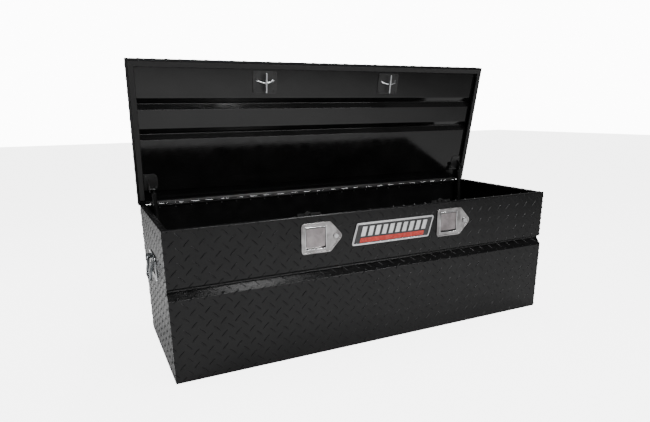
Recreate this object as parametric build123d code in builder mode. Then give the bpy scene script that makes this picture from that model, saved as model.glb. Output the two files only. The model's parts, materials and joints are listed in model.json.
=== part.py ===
from build123d import *
import math
import os

# Truck tool box: a long tread-plate chest whose lid opens on a rear continuous hinge.
# Millimetres. X runs along the length, the front faces -Y and +Z is up.
# The origin is the middle of the underside. The lid stands open, as it is modelled.
# Tread plate is modelled at its thickness over the raised bars, so each face of it
# stands for the crowns of the bars.

# ---- driving dimensions -------------------------------------------------------------
length = 1524.0
depth = 506.0
height = 495.0
open_angle = 79.8

sheet = 2.8
thin_sheet = 1.2
bracket_sheet = 2.5
bend = 4.0

# ---- tub ----------------------------------------------------------------------------
half_length = length / 2
front = -depth / 2
rear = depth / 2
band_top = 312.0
band_valley = 305.0
band_bottom = 277.0
valley_depth = 14.0
lower_step = 8.0
bottom_bend = 5.0
rim_width = 22.0
rim_lip = 8.0

# ---- lid ----------------------------------------------------------------------------
# The lid is drawn in its own coordinates: X along the box, S up the lid from the hinge
# axis, and W from the hinge plane towards the inside of the box.
knuckle_radius = 4.5
axis_y = rear + knuckle_radius
axis_z = height + 3.5
lid_overhang = 4.0
lid_front = axis_y - front + 1.0
lid_back = -(knuckle_radius + sheet)
lid_half = half_length + lid_overhang
skin_w = -28.0
lip_w = -1.2
lip_width = 28.0
liner_w = -12.0
liner_low = 40.0
liner_high = lid_front - 18.0
liner_half = half_length - 12.0
groove_run = 20.0
liner_bend = 3.0
lower_groove = 253.0
upper_groove = 360.0
gasket_width = 16.0
gasket_height = 4.4
gasket_inset = 9.0

# ---- hinge --------------------------------------------------------------------------
leaf = 1.4
knuckle_pitch = 60.0
knuckle_count = 24
knuckle_gap = 0.6
leaf_reach = 26.0
hinge_pin_radius = 2.0
hinge_bore_radius = 2.06
rivet_radius = 2.0
rivet_hole = 2.05
rivet_head = 4.0
rivet_dome = 1.6
rivet_tail = 1.5

# ---- latches ------------------------------------------------------------------------
latch_centres = {"left": -268.0, "right": 279.0}
latch_z = 418.0
plate_half = 52.5
plate_shoulder = 54.0
plate_point = 103.0
plate_sheet = 1.5
bezel_height = 3.0
bezel_width = 5.5
pan_half = 37.0
pan_depth = 16.0
paddle_half = 34.5
paddle_drop = 30.0
paddle_axis_z = latch_z + 29.0
paddle_axis_y = front + 5.0
paddle_pin_radius = 1.5
plate_stud_radius = 2.2
plate_stud_hole = 2.3
plate_nut_radius = 4.2
plate_nut_height = 3.2
tongue_x = -32.0
tongue_half = 3.0
tongue_reach = 39.0
lock_offset = 76.0
lock_radius = 9.0
lock_flange = 2.2
lock_length = 26.0
lock_nut_radius = 13.0
lock_nut_height = 4.5
plug_radius = 6.5
plug_tail_radius = 3.0
cam_thick = 2.5
catch_front = front + 40.5
catch_thick = 5.0
catch_pivot_x = -10.0
catch_pivot_z = 450.0
housing_back = front + 49.0
housing_half = 42.0
housing_wall = 2.4
housing_drop = 46.0
pivot_head = 6.5
pivot_shoulder = 5.4

# ---- strikers -----------------------------------------------------------------------
striker_rod_radius = 4.0
striker_s = 437.0
striker_rod_half = 36.0
striker_w = 9.0
hoop_half = 33.0
hoop_drop = 9.0
hoop_foot = 4.5
striker_bolt_radius = 2.5
striker_bolt_hole = 2.6
striker_bolt_head = 4.6

# ---- end handles --------------------------------------------------------------------
handle_z = 326.0
handle_half_width = 70.0
handle_half_height = 45.0
handle_pivot_z = 346.0
handle_standoff = 10.0
bail_radius = 4.5
bail_half = 46.0
bail_drop = 60.0
bail_lean = 10.0
handle_sheet = 2.0

# ---- lid struts ---------------------------------------------------------------------
strut_x = 709.0
strut_low_y = 190.0
strut_low_z = 150.0
strut_high_s = 60.0
strut_high_w = 25.0
eye_radius = 9.0
eye_half = 5.0
stud_radius = 4.0
stud_bore = 4.06
tube_radius = 9.0
strut_rod_radius = 4.0
stud_head = 6.5
ear_x = -724.0
stand_off = -720.5

# ---- running clearances on a radius --------------------------------------------------
shaft_fit = 0.08
seat_fit = 0.1

# ---- badge --------------------------------------------------------------------------
badge_x = 38.0
badge_z = 413.0
badge_width = 322.0
badge_height = 78.0
badge_slant = 22.0

os.makedirs("parts", exist_ok=True)

# ---- frames of reference ------------------------------------------------------------
lean = math.radians(open_angle)
lid_up = Vector(0, -math.cos(lean), math.sin(lean))
lid_in = Vector(0, -math.sin(lean), -math.cos(lean))
axis_point = Vector(0, axis_y, axis_z)
lid_plane = Plane(origin=axis_point, x_dir=Vector(1, 0, 0), z_dir=lid_in)
lid_section = Plane(origin=axis_point, x_dir=lid_up, z_dir=Vector(1, 0, 0))
front_plane = Plane.XZ.offset(-front)


def lid_point(x, s, w):
    """A point given in the lid's coordinates."""
    return axis_point + Vector(x, 0, 0) + lid_up * s + lid_in * w


def finish_piece(piece, name):
    """Label a finished piece and write its file."""
    piece.part.label = name
    export_step(piece.part, f"parts/{name}.step")


def slab(plane, x_span, y_span, z_span, mode=Mode.ADD):
    """A block between two limits on each axis of a plane."""
    with BuildSketch(plane.offset(z_span[0])) as outline:
        with Locations(((x_span[0] + x_span[1]) / 2, (y_span[0] + y_span[1]) / 2)):
            Rectangle(x_span[1] - x_span[0], y_span[1] - y_span[0])
    extrude(outline.sketch, amount=z_span[1] - z_span[0], mode=mode)


def peg(plane, centre, radius, z_span, mode=Mode.ADD):
    """A round peg or hole between two heights over a plane."""
    with BuildSketch(plane.offset(z_span[0])) as outline:
        with Locations(centre):
            Circle(radius)
    extrude(outline.sketch, amount=z_span[1] - z_span[0], mode=mode)


def pegs(plane, centres, radius, z_span, mode=Mode.ADD):
    """The same peg or hole at several places on a plane."""
    with BuildSketch(plane.offset(z_span[0])) as outline:
        with Locations(*centres):
            Circle(radius)
    extrude(outline.sketch, amount=z_span[1] - z_span[0], mode=mode)


def domed_rivets(plane, centres, grip, tail=rivet_tail):
    """Pop rivets: a domed head over the plane, a shank through it and a swollen tail."""
    pegs(plane, centres, rivet_radius, (-grip, 0.0))
    if tail:
        pegs(plane, centres, rivet_radius + 0.8, (-grip - tail, -grip))
    crown_radius = (rivet_head**2 + rivet_dome**2) / (2 * rivet_dome)
    with BuildSketch(Plane.XZ) as crown:
        with BuildLine():
            Line((0, 0), (rivet_head, 0))
            RadiusArc((rivet_head, 0), (0, rivet_dome), -crown_radius)
            Line((0, rivet_dome), (0, 0))
        make_face()
    dome = revolve(crown.sketch, axis=Axis.Z, mode=Mode.PRIVATE)
    with Locations(*[plane.location * Location(centre) for centre in centres]):
        add(dome)


def bent_sheet(plane, points, radii, thickness, side, x_span):
    """A bent sheet: one face follows the points and the sheet lies to one side."""
    with BuildSketch(plane.offset(x_span[0])) as section:
        with BuildLine():
            FilletPolyline(*points, radius=radii)
            offset(amount=thickness, side=side)
        make_face()
    extrude(section.sketch, amount=x_span[1] - x_span[0])


# ---- tub: a bent front sheet, a flat floor and a bent rear sheet, welded together ---------
rim_front = front + rim_width
rim_rear = rear - rim_width
wall_outline = [
    (front, height),
    (front, band_top),
    (front + valley_depth, band_valley),
    (front - lower_step, band_bottom),
    (front - lower_step, 0.0),
    (rear, 0.0),
    (rear, height),
]
wall_bends = [3.2, 4.0, 6.0, bottom_bend, bottom_bend]
rim_start = [(rim_front, height - rim_lip), (rim_front, height)]
rim_end = [(rim_rear, height), (rim_rear, height - rim_lip)]
cutout_half = pan_half + plate_sheet + 1.0
stud_places = [(-47.5, -46.0), (-47.5, 46.0), (47.5, -46.0), (47.5, 46.0)]
inner_half = half_length - sheet
rivet_row = [(i - (knuckle_count - 1) / 2) * knuckle_pitch for i in range(knuckle_count)]
tub_rivet_z = axis_z - 18.0
rear_plane = Plane(origin=(0, rear, 0), x_dir=Vector(-1, 0, 0), z_dir=Vector(0, 1, 0))

front_seam = front - lower_step + 2 * bottom_bend
rear_seam = rear - 2 * bottom_bend
front_outline, rear_outline = wall_outline[:5], wall_outline[5:]

with BuildPart() as front_panel:
    bent_sheet(
        Plane.YZ,
        rim_start + front_outline + [(front_seam, 0.0)],
        [bend, bend] + wall_bends[:4],
        sheet,
        Side.LEFT,
        (-inner_half, inner_half),
    )
    for centre in latch_centres.values():
        slab(
            front_plane,
            (centre - cutout_half, centre + cutout_half),
            (latch_z - cutout_half, latch_z + cutout_half),
            (-2 * sheet, sheet),
            Mode.SUBTRACT,
        )
        studs = [(centre + x, latch_z + z) for x, z in stud_places]
        pegs(front_plane, studs, plate_stud_hole, (-2 * sheet, sheet), Mode.SUBTRACT)
        peg(
            front_plane,
            (centre + lock_offset, latch_z),
            lock_radius + 0.5,
            (-2 * sheet, sheet),
            Mode.SUBTRACT,
        )
finish_piece(front_panel, "front_panel")

with BuildPart() as floor_panel:
    slab(Plane.XY, (-inner_half, inner_half), (front_seam, rear_seam), (0.0, sheet))
finish_piece(floor_panel, "floor_panel")

leaf_holes = [(x, tub_rivet_z) for x in rivet_row]
with BuildPart() as rear_panel:
    bent_sheet(
        Plane.YZ,
        [(rear_seam, 0.0)] + rear_outline + rim_end,
        [bottom_bend, bend, bend],
        sheet,
        Side.LEFT,
        (-inner_half, inner_half),
    )
    pegs(rear_plane, leaf_holes, rivet_hole, (-2 * sheet, sheet), Mode.SUBTRACT)
finish_piece(rear_panel, "rear_panel")

# ---- end panels --------------------------------------------------------------------------
strut_bracket_rivets = [(165.0, 118.0), (215.0, 118.0), (165.0, 182.0), (215.0, 182.0)]
handle_rivet_places = [
    (y * (handle_half_width - 9.0), handle_z + z * (handle_half_height - 8.0))
    for y in (-1, 1)
    for z in (-1, 1)
]

with BuildPart() as end_panel_left:
    with BuildSketch(Plane.YZ.offset(-half_length)) as panel:
        with BuildLine():
            FilletPolyline(*wall_outline, radius=wall_bends)
            Line(wall_outline[-1], wall_outline[0])
        make_face()
    extrude(amount=sheet)
    rim_inner = -half_length + rim_width
    slab(
        Plane.XY,
        (-inner_half, rim_inner),
        (rim_front, rim_rear),
        (height - sheet, height),
    )
    slab(
        Plane.XY,
        (rim_inner - sheet, rim_inner),
        (rim_front, rim_rear),
        (height - rim_lip, height),
    )
    end_holes = handle_rivet_places + strut_bracket_rivets
    pegs(Plane.YZ, end_holes, rivet_hole, (-half_length - 1, -inner_half + 1), Mode.SUBTRACT)
finish_piece(end_panel_left, "end_panel_left")

with BuildPart() as end_panel_right:
    mirror(end_panel_left.part, about=Plane.YZ)
finish_piece(end_panel_right, "end_panel_right")

# ---- continuous hinge --------------------------------------------------------------------
hinge_half = knuckle_pitch * knuckle_count / 2
tub_side_z = -knuckle_radius - 0.5


def knuckle_starts(shift):
    """The left ends of every second knuckle along the hinge."""
    return [-hinge_half + shift + i * knuckle_pitch for i in range(knuckle_count)]


def add_knuckles(shift, plane):
    """Barrel segments, each a ring with the strip that joins it to its leaf."""
    width = knuckle_pitch / 2 - knuckle_gap
    with BuildSketch(plane) as segment:
        Circle(knuckle_radius)
        with Locations((-knuckle_radius + leaf / 2, tub_side_z / 2)):
            Rectangle(leaf, -tub_side_z)
        Circle(hinge_bore_radius, mode=Mode.SUBTRACT)
    barrel = extrude(segment.sketch, amount=width, mode=Mode.PRIVATE)
    for start in knuckle_starts(shift):
        add(barrel.moved(Location((start, 0, 0))))


axis_section = Plane(origin=axis_point, x_dir=Vector(0, 1, 0), z_dir=Vector(1, 0, 0))
with BuildPart() as hinge_leaf_tub:
    add_knuckles(knuckle_gap / 2, axis_section)
    slab(
        rear_plane,
        (-hinge_half, hinge_half),
        (axis_z - leaf_reach, axis_z + tub_side_z),
        (0.0, leaf),
    )
    pegs(rear_plane, leaf_holes, rivet_hole, (-1.0, leaf + 1), Mode.SUBTRACT)
finish_piece(hinge_leaf_tub, "hinge_leaf_tub")

# The lid's leaf lies on the inner face of the lid's rear flange.
lid_rivet_w = -17.0
lid_back_plane = Plane(
    origin=lid_point(0, lid_back, 0), x_dir=Vector(1, 0, 0), z_dir=lid_up * -1
)
lid_leaf_holes = [(x, lid_rivet_w) for x in rivet_row]
with BuildPart() as hinge_leaf_lid:
    add_knuckles(knuckle_pitch / 2 + knuckle_gap / 2, lid_section)
    slab(
        lid_section,
        (-knuckle_radius, -knuckle_radius + leaf),
        (-leaf_reach + 1.0, tub_side_z),
        (-hinge_half, hinge_half),
    )
    pegs(lid_back_plane, lid_leaf_holes, rivet_hole, (-sheet - leaf - 1, 1), Mode.SUBTRACT)
finish_piece(hinge_leaf_lid, "hinge_leaf_lid")

with BuildPart() as hinge_pin:
    peg(axis_section, (0, 0), hinge_pin_radius, (-hinge_half - 2, hinge_half + 2))
finish_piece(hinge_pin, "hinge_pin")

with BuildPart() as hinge_rivets_tub:
    domed_rivets(rear_plane.offset(leaf), leaf_holes, leaf + sheet)
finish_piece(hinge_rivets_tub, "hinge_rivets_tub")

with BuildPart() as hinge_rivets_lid:
    domed_rivets(lid_back_plane, lid_leaf_holes, leaf + sheet)
finish_piece(hinge_rivets_lid, "hinge_rivets_lid")

# ---- lid skin ---------------------------------------------------------------------------
with BuildPart() as lid_skin:
    lid_span = (lid_back, lid_front)
    slab(lid_plane, (-lid_half, lid_half), lid_span, (skin_w, skin_w + sheet))
    slab(lid_plane, (-lid_half, lid_half), (lid_front - sheet, lid_front), (skin_w, lip_w))
    slab(
        lid_plane,
        (-lid_half, lid_half),
        (lid_back, lid_back + sheet),
        (skin_w, tub_side_z),
    )
    slab(
        lid_plane,
        (-lid_half, lid_half),
        (lid_front - lip_width, lid_front),
        (lip_w - sheet, lip_w),
    )
    for hand in (-1, 1):
        outer = hand * lid_half
        flange = sorted((outer, outer - hand * sheet))
        lip = sorted((outer, outer - hand * lip_width))
        slab(lid_plane, flange, lid_span, (skin_w, lip_w))
        slab(lid_plane, lip, lid_span, (lip_w - sheet, lip_w))
    crest = lid_skin.faces().sort_by(Axis((0, 0, 0), lid_in * -1))[-1]
    fillet(crest.outer_wire().edges(), bend * 0.6)
    pegs(lid_back_plane, lid_leaf_holes, rivet_hole, (-sheet - 1, 1), Mode.SUBTRACT)
finish_piece(lid_skin, "lid_skin")

# ---- lid liner: a flat inner sheet with two pressed stiffening grooves ---------------------
valley_w = skin_w + sheet + thin_sheet
liner_path = [
    (liner_low, skin_w + sheet),
    (liner_low, liner_w),
    (lower_groove - groove_run, liner_w),
    (lower_groove, valley_w),
    (lower_groove + groove_run, liner_w),
    (upper_groove - groove_run, liner_w),
    (upper_groove, valley_w),
    (upper_groove + groove_run, liner_w),
    (liner_high, liner_w),
]
striker_bolt_places = [(-40.0, -33.0), (-40.0, 33.0), (40.0, -33.0), (40.0, 33.0)]
striker_bolts_at = [
    (centre + x, striker_s + s)
    for centre in latch_centres.values()
    for x, s in striker_bolt_places
]
lid_bracket_rivets = [
    (hand * (strut_x + x), s) for hand in (-1, 1) for x, s in ((-14, 55), (-14, 98), (20, 98))
]
with BuildPart() as lid_liner:
    bent_sheet(
        lid_section,
        liner_path,
        [liner_bend] * (len(liner_path) - 2),
        thin_sheet,
        Side.RIGHT,
        (-liner_half, liner_half),
    )
    under_liner = (liner_w - thin_sheet - 1, liner_w + 1)
    pegs(lid_plane, striker_bolts_at, striker_bolt_hole, under_liner, Mode.SUBTRACT)
    pegs(lid_plane, lid_bracket_rivets, rivet_hole, under_liner, Mode.SUBTRACT)
finish_piece(lid_liner, "lid_liner")

# ---- gasket along the front and side lips ------------------------------------------------
gasket_outer = lid_half - gasket_inset
gasket_front = lid_front - gasket_inset
with BuildPart() as lid_gasket:
    span = (lip_w, lip_w + gasket_height)
    across = (-gasket_outer, gasket_outer)
    slab(lid_plane, across, (gasket_front - gasket_width, gasket_front), span)
    for hand in (-1, 1):
        side = sorted((hand * gasket_outer, hand * (gasket_outer - gasket_width)))
        slab(lid_plane, side, (12.0, gasket_front), span)
finish_piece(lid_gasket, "lid_gasket")

# ---- strikers ---------------------------------------------------------------------------
striker_face = liner_w + bracket_sheet
for side, centre in latch_centres.items():
    with BuildPart() as striker_plate:
        with BuildSketch(lid_plane.offset(liner_w)):
            with Locations((centre, striker_s)):
                RectangleRounded(96.0, 82.0, 8.0)
        extrude(amount=bracket_sheet)
        bolts = [(centre + x, striker_s + s) for x, s in striker_bolt_places]
        through = (liner_w - 1, striker_face + 1)
        pegs(lid_plane, bolts, striker_bolt_hole, through, Mode.SUBTRACT)
    finish_piece(striker_plate, f"striker_plate_{side}")

    # The hoop leans down the lid from its feet to the crown that carries the rod.
    rise = striker_w - 2 * striker_rod_radius - seat_fit - striker_face
    hoop_up = (lid_in * rise - lid_up * hoop_drop).normalized()
    hoop_rise = math.hypot(rise, hoop_drop)
    hoop_plane = Plane(
        origin=lid_point(centre, striker_s + hoop_drop, striker_face),
        x_dir=Vector(1, 0, 0),
        z_dir=Vector(1, 0, 0).cross(hoop_up),
    )
    hoop_path = [
        (-hoop_half, -2 * striker_rod_radius),
        (-hoop_half, hoop_foot),
        (-10.0, hoop_rise),
        (10.0, hoop_rise),
        (hoop_half, hoop_foot),
        (hoop_half, -2 * striker_rod_radius),
    ]
    foot_plane = Plane(
        origin=hoop_plane.from_local_coords(hoop_path[0]),
        x_dir=Vector(1, 0, 0),
        z_dir=hoop_up,
    )
    with BuildPart() as striker_hoop:
        with BuildLine(hoop_plane):
            FilletPolyline(*hoop_path, radius=4.4)
        with BuildSketch(foot_plane):
            Circle(striker_rod_radius)
        sweep()
        split(bisect_by=lid_plane.offset(striker_face), keep=Keep.TOP)
    finish_piece(striker_hoop, f"striker_hoop_{side}")

    rod_plane = Plane(
        origin=lid_point(centre, striker_s, striker_w), x_dir=Vector(1, 0, 0), z_dir=lid_up
    )
    with BuildPart() as striker_rod:
        peg(rod_plane, (0, 0), striker_rod_radius, (-striker_rod_half, striker_rod_half))
        fillet(striker_rod.edges().filter_by(GeomType.CIRCLE), 1.5)
    finish_piece(striker_rod, f"striker_rod_{side}")

with BuildPart() as striker_bolts:
    pegs(lid_plane, striker_bolts_at, striker_bolt_radius, (liner_w - 7.0, striker_face))
    with BuildSketch(lid_plane.offset(striker_face)) as heads:
        with Locations(*striker_bolts_at):
            RegularPolygon(striker_bolt_head, 6)
    extrude(heads.sketch, amount=3.4)
finish_piece(striker_bolts, "striker_bolts")

# ---- latches ----------------------------------------------------------------------------
pan_outer = pan_half + plate_sheet
pan_floor_y = front + pan_depth

# The claw's outline, as X from the latch's centre and Z: the hooked head that goes over
# the striker, then the tail that the paddle's tongue lifts.
claw_outline = [
    (-22.0, 446.0),
    (-17.5, 470.0),
    (-17.5, 497.0),
    (-9.0, 503.0),
    (5.5, 495.5),
    (5.5, 494.3),
    (-6.0, 494.3),
    (-6.0, 478.0),
    (1.0, 455.0),
    (-3.0, 441.0),
    (-30.0, 438.0),
    (-37.5, 436.5),
    (-37.5, 441.0),
    (-28.0, 444.5),
]
for side, centre in latch_centres.items():
    latch_plane = Plane(
        origin=(centre, front, latch_z), x_dir=Vector(1, 0, 0), z_dir=Vector(0, -1, 0)
    )
    with BuildPart() as latch_plate:
        with BuildSketch(latch_plane) as plate:
            with BuildLine():
                FilletPolyline(
                    (-plate_half, -plate_half),
                    (plate_shoulder, -plate_half),
                    (plate_point, 0),
                    (plate_shoulder, plate_half),
                    (-plate_half, plate_half),
                    radius=[12.0, 12.0, 17.0, 12.0, 12.0],
                    close=True,
                )
            make_face()
        extrude(amount=plate_sheet)
        with BuildSketch(latch_plane.offset(plate_sheet)):
            add(plate.sketch_local)
            offset(plate.sketch_local, amount=-bezel_width, mode=Mode.SUBTRACT)
        extrude(amount=bezel_height - plate_sheet)
        fillet(latch_plate.faces().sort_by(Axis.Y)[0].edges(), 1.2)
        slab(latch_plane, (-pan_outer, pan_outer), (-pan_outer, pan_outer), (-pan_depth, 0))
        inside = (-pan_half, pan_half)
        slab(latch_plane, inside, inside, (plate_sheet - pan_depth, 9), Mode.SUBTRACT)
        axis_height = paddle_axis_z - latch_z
        slab(
            latch_plane,
            (tongue_x - tongue_half - 1.0, tongue_x + tongue_half + 1.0),
            (axis_height - 19.0, axis_height + 5.0),
            (-pan_depth - 1, plate_sheet - pan_depth + 1),
            Mode.SUBTRACT,
        )
        peg(latch_plane, (lock_offset, 0), lock_radius + seat_fit, (-1, 9), Mode.SUBTRACT)
        pegs(latch_plane, stud_places, plate_stud_radius, (-9.0, 0.0))
        pin_plane = Plane.YZ.offset(centre)
        pin_at = (paddle_axis_y, paddle_axis_z)
        pin_hole = paddle_pin_radius + 0.05
        peg(pin_plane, pin_at, pin_hole, (-pan_outer - 1, pan_outer + 1), Mode.SUBTRACT)
    finish_piece(latch_plate, f"latch_plate_{side}")

    with BuildPart() as paddle_pin:
        peg(pin_plane, pin_at, paddle_pin_radius, (-pan_outer, pan_outer))
    finish_piece(paddle_pin, f"paddle_pin_{side}")

    with BuildPart() as latch_paddle:
        paddle_face = 1.0
        slab(
            latch_plane,
            (-paddle_half, paddle_half),
            (-paddle_drop, axis_height + 4.5),
            (paddle_face - 2.4, paddle_face),
        )
        paddle_rim = latch_paddle.edges().filter_by(Axis.Y)
        fillet(paddle_rim, 4.0)
        for hand in (-1, 1):
            flange = sorted((hand * paddle_half, hand * (paddle_half - 1.8)))
            slab(latch_plane, flange, (-paddle_drop + 8.0, axis_height - 3.0), (-7.0, 0))
        peg(pin_plane, pin_at, 3.4, (-paddle_half, paddle_half))
        slab(
            latch_plane,
            (-paddle_half, paddle_half),
            (axis_height - 2.0, axis_height + 2.0),
            (-5.0, 0.0),
        )
        slab(
            latch_plane,
            (tongue_x - tongue_half, tongue_x + tongue_half),
            (axis_height - 2.5, axis_height + 1.5),
            (-5.0 - tongue_reach, -5.0),
        )
        bore = paddle_pin_radius + shaft_fit
        peg(pin_plane, pin_at, bore, (-paddle_half - 1, paddle_half + 1), Mode.SUBTRACT)
    finish_piece(latch_paddle, f"latch_paddle_{side}")

    # Housing: side walls off the front panel and a rear plate with a slot for the striker.
    inner_front = front + sheet
    low, high = latch_z - housing_drop, latch_z + housing_drop
    with BuildPart() as latch_housing:
        for hand in (-1, 1):
            wall = sorted((centre + hand * housing_half, centre + hand * (housing_half - 2)))
            slab(Plane.XY, wall, (inner_front, housing_back), (low, high))
        slab(
            Plane.XY,
            (centre - housing_half, centre + housing_half),
            (housing_back, housing_back + housing_wall),
            (low, height - 1.0),
        )
        slab(
            Plane.XY,
            (centre - 7.0, centre + 7.0),
            (housing_back - 1, housing_back + 4),
            (axis_z - striker_w - 8.5, height + 1),
            Mode.SUBTRACT,
        )
        pivot = (centre + catch_pivot_x, catch_pivot_z)
        back = -housing_back
        peg(Plane.XZ, pivot, stud_bore, (back - 4, back + 1), Mode.SUBTRACT)
    finish_piece(latch_housing, f"latch_housing_{side}")

    catch_plane = Plane(
        origin=(centre, catch_front + catch_thick, 0),
        x_dir=Vector(1, 0, 0),
        z_dir=Vector(0, -1, 0),
    )
    with BuildPart() as latch_catch:
        with BuildSketch(catch_plane) as claw:
            with BuildLine():
                Polyline(*claw_outline, close=True)
            make_face()
        extrude(amount=catch_thick)
        peg(
            catch_plane,
            (catch_pivot_x, catch_pivot_z),
            stud_bore,
            (-1, catch_thick + 1),
            Mode.SUBTRACT,
        )
    finish_piece(latch_catch, f"latch_catch_{side}")

    # Pivot pin: a head before the claw, a shoulder behind it and an end in the housing.
    with BuildPart() as catch_pin:
        peg(Plane.XZ, pivot, stud_radius, (back - 4.0, -catch_front + 0.3))
        peg(Plane.XZ, pivot, pivot_head, (-catch_front + 0.3, -catch_front + 2.0))
        behind = -(catch_front + catch_thick) - 0.3
        peg(Plane.XZ, pivot, pivot_shoulder, (back, behind))
    finish_piece(catch_pin, f"catch_pin_{side}")

    # Lock: a fixed sleeve, a plug that turns in it and a cam on the plug's tail.
    lock_plane = Plane(
        origin=(centre + lock_offset, front, latch_z),
        x_dir=Vector(1, 0, 0),
        z_dir=Vector(0, -1, 0),
    )
    with BuildPart() as lock_sleeve:
        peg(lock_plane, (0, 0), lock_radius, (-lock_length, 4.0))
        peg(lock_plane, (0, 0), lock_radius + lock_flange, (plate_sheet, 5.0))
        fillet(lock_sleeve.edges().filter_by(GeomType.CIRCLE).sort_by(Axis.Y)[0], 1.0)
        with BuildSketch(lock_plane.offset(-sheet - lock_nut_height)) as nut:
            RegularPolygon(lock_nut_radius, 6)
        extrude(nut.sketch, amount=lock_nut_height)
        bore = plug_radius + shaft_fit
        peg(lock_plane, (0, 0), bore, (-lock_length - 1, 6.0), Mode.SUBTRACT)
    finish_piece(lock_sleeve, f"lock_sleeve_{side}")

    with BuildPart() as lock_plug:
        peg(lock_plane, (0, 0), plug_radius, (-lock_length - 1, 5.4))
        slab(lock_plane, (-0.8, 0.8), (-3.6, 3.6), (-3.0, 6.0), Mode.SUBTRACT)
        peg(lock_plane, (0, 0), plug_tail_radius, (-lock_length - 6, -lock_length - 1))
    finish_piece(lock_plug, f"lock_plug_{side}")

    with BuildPart() as lock_cam:
        with BuildSketch(lock_plane.offset(-lock_length - 1 - cam_thick)):
            with Locations((0, -8.0)):
                SlotCenterToCenter(16.0, 15.0, rotation=90)
            Circle(plug_tail_radius, mode=Mode.SUBTRACT)
        extrude(amount=cam_thick)
    finish_piece(lock_cam, f"lock_cam_{side}")

with BuildPart() as latch_nuts:
    nut_places = [
        (centre + x, latch_z + z) for centre in latch_centres.values() for x, z in stud_places
    ]
    with BuildSketch(front_plane.offset(-sheet - plate_nut_height)) as nuts:
        with Locations(*nut_places):
            RegularPolygon(plate_nut_radius, 6)
            Circle(plate_stud_radius + 0.05, mode=Mode.SUBTRACT)
    extrude(nuts.sketch, amount=plate_nut_height)
finish_piece(latch_nuts, "latch_nuts")

# ---- badge ------------------------------------------------------------------------------
badge_plane = Plane(
    origin=(badge_x, front, badge_z), x_dir=Vector(1, 0, 0), z_dir=Vector(0, -1, 0)
)


def slanted(half_width, low, high):
    """The corners of a parallelogram that leans with the badge."""
    slope = badge_slant / badge_height
    return [
        (-half_width + low * slope, low),
        (half_width + low * slope, low),
        (half_width + high * slope, high),
        (-half_width + high * slope, high),
    ]


badge_sheet = 3.0
with BuildPart() as badge_plate:
    with BuildSketch(badge_plane) as badge:
        with BuildLine():
            Polyline(*slanted(badge_width / 2, -badge_height / 2, badge_height / 2), close=True)
        make_face()
        fillet(badge.vertices(), 7.0)
    extrude(amount=badge_sheet)
finish_piece(badge_plate, "badge_plate")

with BuildPart() as badge_bar:
    with BuildSketch(badge_plane.offset(badge_sheet)) as bar:
        with BuildLine():
            Polyline(*slanted(badge_width / 2 - 28.0, -30.0, -14.0), close=True)
        make_face()
        fillet(bar.vertices(), 2.0)
    extrude(amount=1.6)
finish_piece(badge_bar, "badge_bar")

# ---- end handles ------------------------------------------------------------------------
left_face = Plane(
    origin=(-half_length, 0, 0), x_dir=Vector(0, -1, 0), z_dir=Vector(-1, 0, 0)
)
ear_near = 54.0
ear_far = 64.0
bail_x = -half_length - handle_standoff
bail_tilt = math.radians(bail_lean)
bail_down = Vector(-math.sin(bail_tilt), 0, -math.cos(bail_tilt))
handle_bore = bail_radius + shaft_fit

with BuildPart() as handle_plate_left:
    with BuildSketch(left_face):
        with Locations((0, handle_z)):
            RectangleRounded(2 * handle_half_width, 2 * handle_half_height, 12.0)
            with Locations((0, -6.0)):
                RectangleRounded(84.0, 44.0, 10.0, mode=Mode.SUBTRACT)
    extrude(amount=handle_sheet)
    for near, far in ((-ear_far, -ear_near), (ear_near, ear_far)):
        slab(left_face, (near, far), (handle_pivot_z - 8, handle_pivot_z + 8), (2, 10))
        with BuildSketch(Plane.XZ.offset(near)) as ear:
            with Locations((bail_x, handle_pivot_z)):
                Circle(8.0)
        extrude(ear.sketch, amount=far - near)
    across = (-ear_far - 1, ear_far + 1)
    peg(Plane.XZ, (bail_x, handle_pivot_z), handle_bore, across, Mode.SUBTRACT)
    rivet_spots = [(-y, z) for y, z in handle_rivet_places]
    pegs(left_face, rivet_spots, rivet_hole, (-1, 3), Mode.SUBTRACT)
finish_piece(handle_plate_left, "handle_plate_left")

bail_plane = Plane(
    origin=(bail_x, 0, handle_pivot_z),
    x_dir=Vector(0, 1, 0),
    z_dir=Vector(0, 1, 0).cross(bail_down * -1),
)
bail_path = [
    (-ear_far + 0.5, 0),
    (-bail_half, 0),
    (-bail_half, -bail_drop),
    (bail_half, -bail_drop),
    (bail_half, 0),
    (ear_far - 0.5, 0),
]
with BuildPart() as handle_bail_left:
    with BuildLine(bail_plane):
        FilletPolyline(*bail_path, radius=[6.5, 14.0, 14.0, 6.5])
    start = Plane(
        origin=(bail_x, -ear_far + 0.5, handle_pivot_z),
        x_dir=Vector(1, 0, 0),
        z_dir=Vector(0, 1, 0),
    )
    with BuildSketch(start):
        Circle(bail_radius)
    sweep()
finish_piece(handle_bail_left, "handle_bail_left")

with BuildPart() as handle_rivets_left:
    domed_rivets(left_face.offset(handle_sheet), rivet_spots, sheet + handle_sheet)
finish_piece(handle_rivets_left, "handle_rivets_left")

for source, name in (
    (handle_plate_left, "handle_plate_right"),
    (handle_bail_left, "handle_bail_right"),
    (handle_rivets_left, "handle_rivets_right"),
):
    with BuildPart() as mirrored_piece:
        mirror(source.part, about=Plane.YZ)
    finish_piece(mirrored_piece, name)

# ---- gas struts -------------------------------------------------------------------------
strut_low = Vector(-strut_x, strut_low_y, strut_low_z)
strut_high = lid_point(-strut_x, strut_high_s, strut_high_w)
strut_axis = (strut_high - strut_low).normalized()
strut_length = (strut_high - strut_low).length
across_strut = Vector(1, 0, 0).cross(strut_axis)
tube_low = 185.0
tube_high = strut_length - 12.0
rod_top = 216.0

# Half sections turned about the strut's own line, with the radius across it.
strut_half_plane = Plane(origin=strut_low, x_dir=across_strut, z_dir=Vector(-1, 0, 0))
strut_line = Axis(strut_low, strut_axis)


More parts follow.
